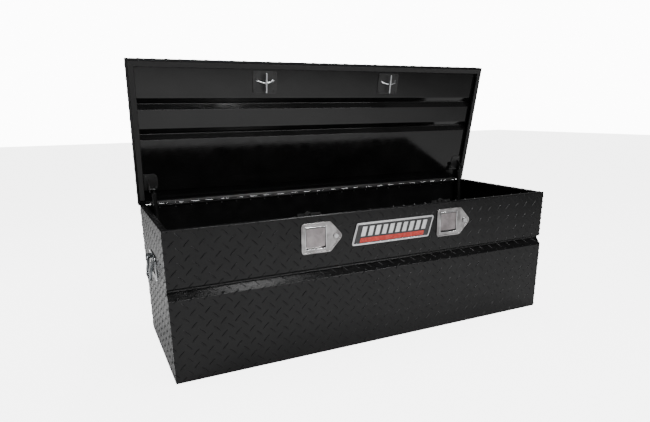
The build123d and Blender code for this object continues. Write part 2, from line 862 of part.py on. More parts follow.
def turned(points):
    """A solid of revolution about the strut, from radius and distance along it."""
    with BuildSketch(strut_half_plane) as half:
        with BuildLine():
            Polyline(*points, close=True)
        make_face()
    revolve(half.sketch, axis=strut_line)


with BuildPart() as strut_rod_left:
    turned(
        [
            (0, 6.0),
            (4.9, 6.0),
            (4.9, 20.0),
            (strut_rod_radius, 22.0),
            (strut_rod_radius, rod_top - 10.0),
            (7.5, rod_top - 10.0),
            (7.5, rod_top),
            (0, rod_top),
        ]
    )
    eye_low = Plane(origin=strut_low, x_dir=Vector(0, 1, 0), z_dir=Vector(1, 0, 0))
    peg(eye_low, (0, 0), eye_radius, (-eye_half, eye_half))
    peg(eye_low, (0, 0), stud_bore, (-eye_half - 1, eye_half + 1), Mode.SUBTRACT)
finish_piece(strut_rod_left, "strut_rod_left")

with BuildPart() as strut_tube_left:
    turned(
        [
            (strut_rod_radius + shaft_fit, tube_low),
            (tube_radius - 1.0, tube_low),
            (tube_radius, tube_low + 1.0),
            (tube_radius, tube_high - 3.0),
            (5.5, tube_high),
            (5.5, tube_high + 6.0),
            (0, tube_high + 6.0),
            (0, tube_high - 6.0),
            (7.6, tube_high - 6.0),
            (7.6, tube_low + 12.0),
            (strut_rod_radius + shaft_fit, tube_low + 12.0),
        ]
    )
    eye_high = Plane(origin=strut_high, x_dir=Vector(0, 1, 0), z_dir=Vector(1, 0, 0))
    peg(eye_high, (0, 0), eye_radius, (-eye_half, eye_half))
    stud_end = ear_x + bracket_sheet + 0.5 + strut_x
    peg(eye_high, (0, 0), stud_radius, (stud_end, -eye_half))
    peg(eye_high, (0, 0), 6.0, (stud_end, stud_end + 2.0))
finish_piece(strut_tube_left, "strut_tube_left")

# Tub bracket: a foot on the end panel, a stand-off channel and the stud for the rod's eye.
with BuildPart() as strut_bracket_tub_left:
    foot = (-inner_half, -inner_half + bracket_sheet)
    low_y, low_z = strut_low_y, strut_low_z
    slab(Plane.XY, foot, (low_y - 35, low_y + 35), (low_z - 42, low_z + 42))
    for y in (low_y - 22, low_y + 22 - bracket_sheet):
        wall = (y, y + bracket_sheet)
        slab(Plane.XY, (-inner_half, stand_off), wall, (low_z - 25, low_z + 25))
    cap = (stand_off, stand_off + bracket_sheet)
    slab(Plane.XY, cap, (low_y - 22, low_y + 22), (low_z - 25, low_z + 25))
    stud_plane = Plane.YZ.offset(-strut_x)
    stud_at = (strut_low_y, strut_low_z)
    peg(stud_plane, stud_at, stud_radius, (stand_off + strut_x, eye_half + 2.0))
    peg(stud_plane, stud_at, stud_head, (eye_half + 0.3, eye_half + 2.0))
    reach = (-inner_half - 1, -inner_half + bracket_sheet + 1)
    pegs(Plane.YZ, strut_bracket_rivets, rivet_hole, reach, Mode.SUBTRACT)
finish_piece(strut_bracket_tub_left, "strut_bracket_tub_left")

inner_face = Plane(
    origin=(-inner_half + bracket_sheet, 0, 0), x_dir=Vector(0, 1, 0), z_dir=Vector(1, 0, 0)
)
with BuildPart() as bracket_rivets_left:
    domed_rivets(inner_face, strut_bracket_rivets, bracket_sheet + sheet, tail=0.0)
finish_piece(bracket_rivets_left, "bracket_rivets_left")

# Lid bracket: a foot on the liner with a rounded inner corner, and an ear beside the eye.
lid_foot = liner_w + bracket_sheet
with BuildPart() as strut_bracket_lid_left:
    with BuildSketch(lid_plane.offset(liner_w)) as foot_shape:
        with BuildLine():
            Polyline(
                (-737.0, 46.0),
                (-687.0, 46.0),
                (-687.0, 108.0),
                (-737.0, 108.0),
                close=True,
            )
        make_face()
        inner_corner = foot_shape.vertices().group_by(Axis.X)[-1]
        fillet(inner_corner, 16.0)
    extrude(amount=bracket_sheet)
    ear_plane = Plane(
        origin=lid_point(ear_x, 0, 0), x_dir=lid_up, z_dir=Vector(1, 0, 0)
    )
    with BuildSketch(ear_plane):
        with BuildLine():
            Polyline(
                (47.0, lid_foot - 0.5),
                (47.0, strut_high_w),
                (strut_high_s, strut_high_w + 13.0),
                (73.0, strut_high_w),
                (90.0, lid_foot - 0.5),
                close=True,
            )
        make_face()
    extrude(amount=bracket_sheet)
    left_rivets = [place for place in lid_bracket_rivets if place[0] < 0]
    pegs(lid_plane, left_rivets, rivet_hole, (liner_w - 1, lid_foot + 1), Mode.SUBTRACT)
finish_piece(strut_bracket_lid_left, "strut_bracket_lid_left")

with BuildPart() as bracket_rivets_lid:
    domed_rivets(lid_plane.offset(lid_foot), lid_bracket_rivets, bracket_sheet + thin_sheet)
finish_piece(bracket_rivets_lid, "bracket_rivets_lid")

for source, name in (
    (strut_rod_left, "strut_rod_right"),
    (strut_tube_left, "strut_tube_right"),
    (strut_bracket_tub_left, "strut_bracket_tub_right"),
    (strut_bracket_lid_left, "strut_bracket_lid_right"),
    (bracket_rivets_left, "bracket_rivets_right"),
):
    with BuildPart() as mirrored_piece:
        mirror(source.part, about=Plane.YZ)
    finish_piece(mirrored_piece, name)
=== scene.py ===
import json
import math

import bpy
from mathutils import Matrix, Vector


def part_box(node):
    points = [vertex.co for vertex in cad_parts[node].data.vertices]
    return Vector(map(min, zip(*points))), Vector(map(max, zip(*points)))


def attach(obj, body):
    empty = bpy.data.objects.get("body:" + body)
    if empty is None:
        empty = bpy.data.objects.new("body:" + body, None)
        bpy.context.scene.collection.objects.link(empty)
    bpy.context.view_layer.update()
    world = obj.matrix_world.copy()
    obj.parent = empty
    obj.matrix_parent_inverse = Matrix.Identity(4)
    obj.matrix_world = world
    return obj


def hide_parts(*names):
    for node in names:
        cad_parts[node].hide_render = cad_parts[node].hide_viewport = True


# Truck tool box: a long black tread-plate chest with its lid held open on gas struts.
# Metres, +Z up, the latches face -Y.

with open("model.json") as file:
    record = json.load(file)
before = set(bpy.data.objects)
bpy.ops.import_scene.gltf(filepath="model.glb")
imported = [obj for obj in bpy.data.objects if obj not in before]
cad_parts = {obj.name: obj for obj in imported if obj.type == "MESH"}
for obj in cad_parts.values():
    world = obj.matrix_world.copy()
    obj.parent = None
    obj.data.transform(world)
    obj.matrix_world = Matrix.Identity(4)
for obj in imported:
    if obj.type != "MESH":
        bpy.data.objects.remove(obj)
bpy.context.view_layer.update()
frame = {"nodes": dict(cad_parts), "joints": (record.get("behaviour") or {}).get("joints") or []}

MM = 0.001


# ---- places, most of them taken from the frame ------------------------------------------
def joint(name):
    """The frame's joint of that name."""
    return next(j for j in frame["joints"] if j["name"] == name)


END_LOW, END_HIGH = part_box("end_panel_left")
HALF_LENGTH = -END_LOW.x
RIM = END_HIGH.z
REAR = END_HIGH.y
FRONT_LOWER = END_LOW.y
BADGE_LOW, BADGE_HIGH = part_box("badge_plate")
FRONT = BADGE_HIGH.y

lid_joint = joint("lid_hinge")
HINGE = Vector(lid_joint["pos_m"])
LID_LEAN = math.radians(lid_joint["range_deg"][1])
LID_UP = Vector((0, -math.cos(LID_LEAN), math.sin(LID_LEAN)))
LID_IN = Vector((0, -math.sin(LID_LEAN), -math.cos(LID_LEAN)))
LID_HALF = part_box("lid_skin")[1].x
LID_OVERHANG = 1 * MM
LID_FRONT = HINGE.y - FRONT + LID_OVERHANG
LID_BACK = -7.3 * MM
SKIN_FACE = -28 * MM
LIP_FACE = -1.2 * MM
LIP_WIDTH = 28 * MM

TREAD_RISE = 1.3 * MM
RIM_WIDTH = 22 * MM
SHEET_BEND = 4 * MM
BAND_TOP = 312 * MM
BAND_VALLEY = 305 * MM
BAND_BOTTOM = 277 * MM
VALLEY_DEPTH = 14 * MM
PAN_FROM_LEFT = 52.5 * MM
FACING = 0.3
SQUARE_ON = 0.5

X, Y, Z = Vector((1, 0, 0)), Vector((0, 1, 0)), Vector((0, 0, 1))


def lid_place(x, s, w):
    """A point on the lid: x along the box, s up from the hinge, w in from its plane."""
    return HINGE + X * x + LID_UP * s + LID_IN * w


# ---- modelling helpers ------------------------------------------------------------------
def only(piece):
    """Select one piece and make it the active one."""
    bpy.ops.object.select_all(action="DESELECT")
    piece.select_set(True)
    bpy.context.view_layer.objects.active = piece


def edit(piece, mode="FACE"):
    """Open a piece for editing."""
    only(piece)
    bpy.ops.object.mode_set(mode="EDIT")
    bpy.ops.mesh.select_mode(type=mode)


def close_edit():
    """Leave edit mode."""
    bpy.ops.object.mode_set(mode="OBJECT")


def pick_faces(piece, test):
    """Select the faces whose centre and normal pass the test."""
    edit(piece)
    bpy.ops.mesh.select_all(action="DESELECT")
    close_edit()
    for face in piece.data.polygons:
        face.select = test(face.center, face.normal)
    bpy.ops.object.mode_set(mode="EDIT")


def apply_modifiers(piece):
    """Apply every modifier on a piece, in order."""
    only(piece)
    for modifier in list(piece.modifiers):
        bpy.ops.object.modifier_apply(modifier=modifier.name)


def set_down(piece):
    """Move a piece's place into its mesh, so its object sits at the origin."""
    only(piece)
    bpy.ops.object.transform_apply(location=True, rotation=True, scale=True)


def smooth(piece, degrees=32):
    """Smooth shading that keeps the sharp edges."""
    only(piece)
    bpy.ops.object.shade_smooth_by_angle(angle=math.radians(degrees))


def plane_matrix(origin, u, v):
    """A frame with local x along u, local y along v and local z outwards."""
    w = u.cross(v)
    columns = Matrix((u, v, w)).transposed()
    return Matrix.Translation(origin) @ columns.to_4x4()


def block(name, size, centre):
    """A block of a given size, ready for more work."""
    bpy.ops.object.select_all(action="DESELECT")
    bpy.ops.mesh.primitive_cube_add(size=1, location=centre)
    piece = bpy.context.active_object
    piece.name = name
    piece.scale = size
    set_down(piece)
    return piece


def bevelled(piece, width, segments=2):
    """Round a piece's edges and apply it."""
    bevel = piece.modifiers.new("edge", "BEVEL")
    bevel.width = width
    bevel.segments = segments
    bevel.limit_method = "ANGLE"
    bevel.angle_limit = math.radians(40)
    apply_modifiers(piece)


def cut(piece, cutter):
    """Take one piece's volume out of another."""
    boolean = piece.modifiers.new("cut", "BOOLEAN")
    boolean.operation = "DIFFERENCE"
    boolean.solver = "EXACT"
    boolean.object = cutter
    apply_modifiers(piece)
    bpy.data.objects.remove(cutter, do_unlink=True)


def join(pieces, name):
    """Join several pieces into one mesh."""
    bpy.ops.object.select_all(action="DESELECT")
    for piece in pieces:
        piece.select_set(True)
    bpy.context.view_layer.objects.active = pieces[0]
    if len(pieces) > 1:
        bpy.ops.object.join()
    pieces[0].name = name
    pieces[0].data.name = name
    return pieces[0]


def finish_piece(piece, body, material):
    """Give a piece its finish and the body that it moves with."""
    piece.data.materials.clear()
    piece.data.materials.append(material)
    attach(piece, body)
    return piece


# ---- finishes ----------------------------------------------------------------------------
def new_finish(name):
    """An empty material with its shader and output."""
    material = bpy.data.materials.new(name)
    material.use_nodes = True
    tree = material.node_tree
    shader = tree.nodes["Principled BSDF"]
    return material, tree, shader


def noise(tree, scale, detail=3.0, stretch=(1, 1, 1), roughness=0.5):
    """Noise on the piece's own coordinates, stretched where the grain runs."""
    place = tree.nodes.new("ShaderNodeTexCoord")
    mapping = tree.nodes.new("ShaderNodeMapping")
    mapping.inputs["Scale"].default_value = stretch
    texture = tree.nodes.new("ShaderNodeTexNoise")
    texture.inputs["Scale"].default_value = scale
    texture.inputs["Detail"].default_value = detail
    texture.inputs["Roughness"].default_value = roughness
    tree.links.new(place.outputs["Object"], mapping.inputs["Vector"])
    tree.links.new(mapping.outputs["Vector"], texture.inputs["Vector"])
    return texture.outputs["Fac"]


def spread(tree, value, low, high, start=0.3, end=0.7):
    """Remap a texture's value onto a range."""
    remap = tree.nodes.new("ShaderNodeMapRange")
    remap.inputs["From Min"].default_value = start
    remap.inputs["From Max"].default_value = end
    remap.inputs["To Min"].default_value = low
    remap.inputs["To Max"].default_value = high
    tree.links.new(value, remap.inputs["Value"])
    return remap.outputs["Result"]


def shades(tree, value, dark, light, start=0.35, end=0.65):
    """Colour that drifts between two shades with a texture's value."""
    ramp = tree.nodes.new("ShaderNodeValToRGB")
    ramp.color_ramp.elements[0].position = start
    ramp.color_ramp.elements[0].color = (*dark, 1)
    ramp.color_ramp.elements[1].position = end
    ramp.color_ramp.elements[1].color = (*light, 1)
    tree.links.new(value, ramp.inputs["Fac"])
    return ramp.outputs["Color"]


def relief(tree, shader, value, strength, distance):
    """Small relief from a texture's value."""
    bump = tree.nodes.new("ShaderNodeBump")
    bump.inputs["Strength"].default_value = strength
    bump.inputs["Distance"].default_value = distance
    tree.links.new(value, bump.inputs["Height"])
    tree.links.new(bump.outputs["Normal"], shader.inputs["Normal"])


def powder_coat(name, dark, light, rough_low, rough_high, peel, gleam=0.5):
    """Baked black coat: a faint orange peel, drifting gloss and fine dust."""
    material, tree, shader = new_finish(name)
    cloud = noise(tree, 9, 4)
    dust = noise(tree, 420, 2)
    colour = shades(tree, cloud, dark, light)
    mix = tree.nodes.new("ShaderNodeMix")
    mix.data_type = "RGBA"
    mix.inputs["B"].default_value = (0.16, 0.16, 0.165, 1)
    tree.links.new(spread(tree, dust, 0.0, 0.06, 0.66, 0.86), mix.inputs["Factor"])
    tree.links.new(colour, mix.inputs["A"])
    tree.links.new(mix.outputs["Result"], shader.inputs["Base Color"])
    tree.links.new(spread(tree, noise(tree, 26, 3), rough_low, rough_high), shader.inputs["Roughness"])
    shader.inputs["Specular IOR Level"].default_value = gleam
    relief(tree, shader, noise(tree, 520, 2), peel, 0.0002)
    return material


def brushed_metal(name, dark, light, rough_low, rough_high, stretch, scale=260):
    """Bright sheet metal with its polishing lines along one way."""
    material, tree, shader = new_finish(name)
    shader.inputs["Metallic"].default_value = 1.0
    lines = noise(tree, scale, 4, stretch)
    # Colour mottle: real stains on most metals; on the handle plating its wide dark range is painted
    # reflection of dark surroundings.
    mottle_stain_and_painted_reflection = noise(tree, 34, 4)
    tree.links.new(shades(tree, mottle_stain_and_painted_reflection, dark, light), shader.inputs["Base Color"])
    tree.links.new(spread(tree, lines, rough_low, rough_high), shader.inputs["Roughness"])
    relief(tree, shader, lines, 0.12, 0.0001)
    return material


def soft_rubber(name):
    """Foam seal: matt black with open pores."""
    material, tree, shader = new_finish(name)
    pores = noise(tree, 900, 2)
    tone = shades(tree, pores, (0.006, 0.006, 0.006), (0.02, 0.02, 0.02))
    tree.links.new(tone, shader.inputs["Base Color"])
    tree.links.new(spread(tree, pores, 0.7, 0.9), shader.inputs["Roughness"])
    relief(tree, shader, pores, 0.5, 0.0004)
    return material


def enamel(name, dark, light, roughness):
    """Glossy filled enamel with a little ripple."""
    material, tree, shader = new_finish(name)
    ripple = noise(tree, 60, 2)
    tree.links.new(shades(tree, ripple, dark, light), shader.inputs["Base Color"])
    tree.links.new(spread(tree, noise(tree, 200, 2), roughness, roughness + 0.08), shader.inputs["Roughness"])
    shader.inputs["Coat Weight"].default_value = 0.5
    shader.inputs["Coat Roughness"].default_value = 0.05
    relief(tree, shader, ripple, 0.1, 0.0003)
    return material


TREAD = powder_coat("tread_coat", (0.003, 0.003, 0.0032), (0.005, 0.005, 0.0052), 0.18, 0.27, 0.08, 0.32)
LINER = powder_coat("liner_coat", (0.003, 0.003, 0.003), (0.006, 0.006, 0.006), 0.07, 0.14, 0.03, 0.42)
HARDWARE = powder_coat("hardware_coat", (0.012, 0.012, 0.012), (0.02, 0.02, 0.02), 0.28, 0.45, 0.14)
STRUT = powder_coat("strut_coat", (0.007, 0.007, 0.007), (0.011, 0.011, 0.011), 0.10, 0.20, 0.02)
ROD = powder_coat("strut_rod_finish", (0.03, 0.03, 0.032), (0.05, 0.05, 0.052), 0.12, 0.22, 0.01)
STAINLESS = brushed_metal("stainless", (0.25, 0.24, 0.24), (0.50, 0.49, 0.49), 0.14, 0.26, (1, 1, 6))
PADDLE = brushed_metal("paddle_stainless", (0.26, 0.235, 0.24), (0.40, 0.365, 0.37), 0.22, 0.36, (8, 1, 1))
# Handle plating: its dark patches are painted reflection, standing in for dark surroundings seen in the
# plating.
HANDLE_PAINTED_REFLECTIONS = brushed_metal("handle_plating_painted_reflections", (0.12, 0.13, 0.135), (0.62, 0.64, 0.66), 0.05, 0.12, (1, 1, 1), 90)
ZINC = brushed_metal("bright_zinc", (0.62, 0.63, 0.65), (0.78, 0.79, 0.80), 0.16, 0.30, (1, 1, 1), 120)
CHROME = brushed_metal("plated_rim", (0.70, 0.70, 0.71), (0.85, 0.85, 0.86), 0.06, 0.14, (1, 1, 1), 90)
RUBBER = soft_rubber("foam_seal")
RED = enamel("red_enamel", (0.42, 0.018, 0.010), (0.58, 0.03, 0.015), 0.22)
FIELD = enamel("black_enamel", (0.008, 0.008, 0.009), (0.014, 0.014, 0.015), 0.18)

node_finish = {
    TREAD: [
        "front_panel",
        "floor_panel",
        "rear_panel",
        "end_panel_left",
        "end_panel_right",
        "lid_skin",
    ],
    LINER: ["lid_liner"],
    HARDWARE: [
        "hinge_leaf_tub",
        "hinge_leaf_lid",
        "hinge_rivets_tub",
        "hinge_rivets_lid",
        "bracket_rivets_lid",
        "bracket_rivets_left",
        "bracket_rivets_right",
        "striker_bolts",
    ],
    ZINC: ["hinge_pin", "latch_nuts"],
    RUBBER: ["lid_gasket"],
    CHROME: ["badge_plate"],
    RED: ["badge_bar"],
}
side_finish = {
    "striker_plate": HARDWARE,
    "striker_hoop": ZINC,
    "striker_rod": ZINC,
    "latch_plate": STAINLESS,
    "paddle_pin": ZINC,
    "latch_paddle": PADDLE,
    "latch_housing": HARDWARE,
    "latch_catch": HARDWARE,
    "catch_pin": HARDWARE,
    "lock_sleeve": STAINLESS,
    "lock_plug": ZINC,
    "lock_cam": ZINC,
    "handle_plate": HANDLE_PAINTED_REFLECTIONS,
    "handle_bail": HANDLE_PAINTED_REFLECTIONS,
    "handle_rivets": ZINC,
    "strut_rod": ROD,
    "strut_tube": STRUT,
    "strut_bracket_tub": HARDWARE,
    "strut_bracket_lid": HARDWARE,
}
for name, material in side_finish.items():
    node_finish.setdefault(material, []).extend([f"{name}_left", f"{name}_right"])
for material, names in node_finish.items():
    for name in names:
        node = frame["nodes"][name]
        node.data.materials.clear()
        node.data.materials.append(material)


# ---- tread-plate sheets --------------------------------------------------------------------
def pressed_sheet(node, body, on_tread):
    """The sheet under the raised bars: the node's tread faces sit back by the bars' height."""
    source = frame["nodes"][node]
    sheet = bpy.data.objects.new(f"{node}_sheet", source.data.copy())
    bpy.context.scene.collection.objects.link(sheet)
    edit(sheet, "VERT")
    bpy.ops.mesh.select_all(action="SELECT")
    bpy.ops.mesh.remove_doubles(threshold=0.005 * MM)
    close_edit()
    pick_faces(sheet, on_tread)
    bpy.ops.transform.shrink_fatten(value=-TREAD_RISE, use_even_offset=True)
    close_edit()
    smooth(sheet)
    flat = sheet.modifiers.new("flat", "WEIGHTED_NORMAL")
    flat.keep_sharp = True
    apply_modifiers(sheet)
    finish_piece(sheet, body, TREAD)
    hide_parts(node)


def on_tub(centre, normal):
    """Whether a face of the tub is on the tread side of the sheet."""
    front = normal.y < -FACING and centre.y < FRONT + VALLEY_DEPTH + 2 * MM
    back = normal.y > FACING and centre.y > REAR - 2 * MM
    top = normal.z > FACING and centre.z > RIM - 3 * MM
    end = abs(normal.x) > SQUARE_ON and abs(centre.x) > HALF_LENGTH - 0.5 * MM
    return front or back or top or end


def on_lid(centre, normal):
    """Whether a face of the lid is on the tread side of the sheet."""
    s = (centre - HINGE).dot(LID_UP)
    w = (centre - HINGE).dot(LID_IN)
    skin = normal.dot(LID_IN) < -FACING and w < SKIN_FACE + 2.4 * MM
    edge = normal.dot(LID_UP) > FACING and s > LID_FRONT - 2.6 * MM
    lip = normal.dot(LID_IN) > SQUARE_ON and w > LIP_FACE - 0.4 * MM
    end = abs(normal.x) > FACING and abs(centre.x) > LID_HALF - 2.6 * MM
    return skin or edge or lip or end


for node in ("front_panel", "rear_panel", "end_panel_left", "end_panel_right"):
    pressed_sheet(node, "tub", on_tub)
pressed_sheet("lid_skin", "lid", on_lid)

# ---- tread bars -----------------------------------------------------------------------------
BAR_LENGTH = 30 * MM
BAR_WIDTH = 5.2 * MM
PITCH_U = 46.7 * MM
PITCH_V = 45.0 * MM
PITCHES = (PITCH_U, PITCH_V)
FIRST_BAR = (25.6 * MM, 1.0 * MM)
BAR_SIDES = 12
BAR_TIERS = ((0.62, 0.74, 0.93), (0.30, 0.58, 0.90), (0.08, 0.40, 0.85))


def tread_bar(turn):
    """One raised bar, lens-shaped: each tier has its rise, its narrowing and its shortening."""
    bpy.ops.object.select_all(action="DESELECT")
    bpy.ops.mesh.primitive_circle_add(vertices=BAR_SIDES, radius=0.5, fill_type="NGON")
    bar = bpy.context.active_object
    bar.scale = (BAR_LENGTH, BAR_WIDTH, 1)
    set_down(bar)
    edit(bar)
    bpy.ops.mesh.select_all(action="SELECT")
    for rise, across, along in BAR_TIERS:
        bpy.ops.mesh.extrude_region_move(
            TRANSFORM_OT_translate={"value": (0, 0, rise * TREAD_RISE)}
        )
        bpy.ops.transform.resize(value=(along, across, 1))
    close_edit()
    bar.rotation_euler = (0, 0, turn)
    set_down(bar)
    return bar


def rows(bar, start, count):
    """Repeat a bar over the plate's lattice."""
    bar.location = (start[0], start[1], 0)
    set_down(bar)
    for axis, pitch in enumerate(PITCHES):
        array = bar.modifiers.new("rows", "ARRAY")
        array.use_relative_offset = False
        array.use_constant_offset = True
        array.count = count[axis]
        array.constant_offset_displace = [pitch if i == axis else 0 for i in range(3)]
    apply_modifiers(bar)
    return bar


def trim(piece, point, keep):
    """Cut a piece at a plane, close the cut and keep the side that keep points to."""
    edit(piece)
    bpy.ops.mesh.select_all(action="SELECT")
    bpy.ops.mesh.bisect(plane_co=point, plane_no=keep, use_fill=True, clear_inner=True)
    close_edit()


def tread(name, body, origin, u, v, size, phase=(0.0, 0.0)):
    """Raised bars over a flat stretch of plate. phase is where the lattice has got to."""
    starts = []
    for half in (0.0, 0.5):
        first = []
        for axis, pitch in enumerate(PITCHES):
            at = (FIRST_BAR[axis] - phase[axis] + half * pitch) % pitch
            first.append(at - pitch)
        starts.append(first)
    count = [math.ceil(size[axis] / pitch) + 2 for axis, pitch in enumerate(PITCHES)]
    leaning = rows(tread_bar(math.radians(45)), starts[0], count)
    crossing = rows(tread_bar(math.radians(-45)), starts[1], count)
    field = join([leaning, crossing], name)
    trim(field, (0, 0, 0), (1, 0, 0))
    trim(field, (size[0], 0, 0), (-1, 0, 0))
    trim(field, (0, 0, 0), (0, 1, 0))
    trim(field, (0, size[1], 0), (0, -1, 0))
    field.matrix_world = plane_matrix(origin - u.cross(v) * TREAD_RISE, u, v)
    set_down(field)
    smooth(field, 40)
    return finish_piece(field, body, TREAD)


LATCH_HOLE = 79 * MM
HOLE_DEPTH = 20 * MM
BEND_CLEAR = 1 * MM
LOWER_START = 8 * MM

left_end = Vector((-HALF_LENGTH, 0, 0))
length = 2 * HALF_LENGTH
upper_low = BAND_TOP + BEND_CLEAR
upper_height = RIM - SHEET_BEND - upper_low

front_upper = tread(
    "tread_front_upper",
    "tub",
    left_end + Y * FRONT + Z * upper_low,
    X,
    Z,
    (length, upper_height),
    (0, upper_low),
)
for side in ("left", "right"):
    low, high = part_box(f"latch_plate_{side}")
    centre_x = low.x + PAN_FROM_LEFT
    centre_z = (low.z + high.z) / 2
    hole = block("latch_hole", (LATCH_HOLE, HOLE_DEPTH, LATCH_HOLE), (centre_x, FRONT, centre_z))
    cut(front_upper, hole)

band_upper = Vector((0, -VALLEY_DEPTH, BAND_TOP - BAND_VALLEY))
tread(
    "tread_band_upper",
    "tub",
    left_end + Y * (FRONT + VALLEY_DEPTH) + Z * BAND_VALLEY,
    X,
    band_upper.normalized(),
    (length, band_upper.length),
    (0, BAND_VALLEY),
)
band_lower = Vector((0, FRONT + VALLEY_DEPTH - FRONT_LOWER, BAND_VALLEY - BAND_BOTTOM))
lower_length = band_lower.length
tread(
    "tread_band_lower",
    "tub",
    left_end + Y * FRONT_LOWER + Z * BAND_BOTTOM,
    X,
    band_lower.normalized(),
    (length, lower_length),
    (0, BAND_VALLEY - lower_length),
)
lower_height = BAND_BOTTOM - LOWER_START - BEND_CLEAR
tread(
    "tread_front_lower",
    "tub",
    left_end + Y * FRONT_LOWER + Z * LOWER_START,
    X,
    Z,
    (length, lower_height),
    (0, BAND_VALLEY - lower_length - BAND_BOTTOM + LOWER_START),
)
rear_height = RIM - SHEET_BEND - LOWER_START
tread("tread_rear", "tub", Vector((HALF_LENGTH, REAR, LOWER_START)), -X, Z, (length, rear_height))

end_depth = REAR - FRONT
for side, hand in (("left", -1), ("right", 1)):
    u = Y * hand
    face = X * hand * HALF_LENGTH
    start_y = FRONT if hand > 0 else REAR
    upper_start = face + Y * start_y + Z * BAND_TOP
    upper_size = (end_depth, RIM - BAND_TOP)
    tread(f"tread_end_upper_{side}", "tub", upper_start, u, Z, upper_size, (0, BAND_TOP))
    lower_start = face + Y * (FRONT_LOWER if hand > 0 else REAR) + Z * LOWER_START
    lower_size = (REAR - FRONT_LOWER, BAND_BOTTOM - LOWER_START)
    lower_phase = (FRONT_LOWER - FRONT if hand > 0 else 0, LOWER_START)
    tread(f"tread_end_lower_{side}", "tub", lower_start, u, Z, lower_size, lower_phase)
    middle_start = face + Y * (FRONT + VALLEY_DEPTH if hand > 0 else REAR) + Z * BAND_BOTTOM
    middle_size = (REAR - FRONT - VALLEY_DEPTH, BAND_TOP - BAND_BOTTOM)
    middle_phase = (VALLEY_DEPTH if hand > 0 else 0, BAND_BOTTOM)
    tread(f"tread_end_middle_{side}", "tub", middle_start, u, Z, middle_size, middle_phase)

REAR_RIM_PHASE = 12 * MM
rim_strip = RIM_WIDTH - 2 * SHEET_BEND
rim_v = RIM + 2 * MM
for name, y, phase in (
    ("tread_rim_front", FRONT + SHEET_BEND, rim_v),
    ("tread_rim_rear", REAR - RIM_WIDTH + SHEET_BEND, REAR_RIM_PHASE),
):
    tread(name, "tub", Vector((-HALF_LENGTH, y, RIM)), X, Y, (length, rim_strip), (0, phase))
for side, hand in (("left", -1), ("right", 1)):
    x = -HALF_LENGTH + SHEET_BEND if hand < 0 else HALF_LENGTH - RIM_WIDTH + SHEET_BEND
    depth = REAR - FRONT - 2 * RIM_WIDTH
    start = Vector((x, FRONT + RIM_WIDTH, RIM))
    tread(f"tread_rim_{side}", "tub", start, X, Y, (rim_strip, depth), (x, RIM_WIDTH))

LIP_START = 12 * MM
LIP_PHASE = 9 * MM
FLANGE_PHASE = 11 * MM
LID_END_PHASE = 20 * MM
lid_length = 2 * LID_HALF
edge_clear = 3 * MM
skin_size = (lid_length - 2 * edge_clear, LID_FRONT - LID_BACK - 2 * edge_clear)
skin_start = lid_place(LID_HALF - edge_clear, LID_BACK + edge_clear, SKIN_FACE)
tread("tread_lid_skin", "lid", skin_start, -X, LID_UP, skin_size)
lip_start = lid_place(-LID_HALF + edge_clear, LID_FRONT - LIP_WIDTH, LIP_FACE)
lip_size = (skin_size[0], LIP_WIDTH - edge_clear)
tread("tread_lip_front", "lid", lip_start, X, LID_UP, lip_size, (0, LIP_PHASE))
side_lip = LID_FRONT - LIP_WIDTH - LIP_START
for side, x in (("left", -LID_HALF + edge_clear), ("right", LID_HALF - LIP_WIDTH)):
    start = lid_place(x, LIP_START, LIP_FACE)
    side_size = (LIP_WIDTH - edge_clear, side_lip)
    tread(f"tread_lip_{side}", "lid", start, X, LID_UP, side_size, (x, LIP_START))
flange_height = LIP_FACE - SKIN_FACE - 2 * edge_clear
flange_start = lid_place(-LID_HALF + edge_clear, LID_FRONT, LIP_FACE - edge_clear)
flange_size = (skin_size[0], flange_height)
tread("tread_lid_front", "lid", flange_start, X, -LID_IN, flange_size, (0, FLANGE_PHASE))
end_length = LID_FRONT - LID_BACK - 2 * edge_clear
left_start = lid_place(-LID_HALF, LID_BACK + edge_clear, SKIN_FACE + edge_clear)
left_size = (flange_height, end_length)
tread("tread_lid_left", "lid", left_start, LID_IN, LID_UP, left_size, (LID_END_PHASE, 0))
right_start = lid_place(LID_HALF, LID_BACK + edge_clear, SKIN_FACE + edge_clear)
right_size = (end_length, flange_height)
tread("tread_lid_right", "lid", right_start, LID_UP, LID_IN, right_size, (0, LID_END_PHASE))


# ---- latch beads ------------------------------------------------------------------------------
PAN_BEAD = 39.2 * MM
BEAD_RADIUS = 1.4 * MM
BEAD_STAND = 1.5 * MM
OPENING_DEPTH = 10 * MM


def pan_bead(side):
    """The rolled bead around a latch's pan."""
    low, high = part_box(f"latch_plate_{side}")
    centre = Vector((low.x + PAN_FROM_LEFT, FRONT - BEAD_STAND, (low.z + high.z) / 2))
    bead = block(f"pan_bead_{side}", (2 * PAN_BEAD, 2 * BEAD_RADIUS, 2 * PAN_BEAD), centre)
    inner = 2 * (PAN_BEAD - 2 * BEAD_RADIUS)
    cut(bead, block("pan_opening", (inner, OPENING_DEPTH, inner), centre))
    bevelled(bead, 0.95 * BEAD_RADIUS, 4)
    smooth(bead, 50)
    finish_piece(bead, "tub", CHROME)


for side in ("left", "right"):
    pan_bead(side)


# ---- badge ---------------------------------------------------------------------------------
BADGE_LEAN = 22.0 / 78.0
BADGE_HALF = 161 * MM
RIM_INSET, RIM_HALF_HEIGHT, RIM_RISE = 3 * MM, 36 * MM, 1.2 * MM
RIM_BORDER, RIM_DISH = 2.6 * MM, 1.0 * MM
FIELD_INSET, FIELD_HALF_HEIGHT, FIELD_RISE = 6.2 * MM, 32.8 * MM, 0.3 * MM
STRIPE_COUNT = 10
STRIPE_PITCH = 28 * MM
STRIPE_HALF, STRIPE_RISE = 9.0 * MM, 1.3 * MM
STRIPE_LOW, STRIPE_HIGH = -8 * MM, 26 * MM
FIELD_STEP, STRIPE_STEP = 0.2 * MM, 0.4 * MM


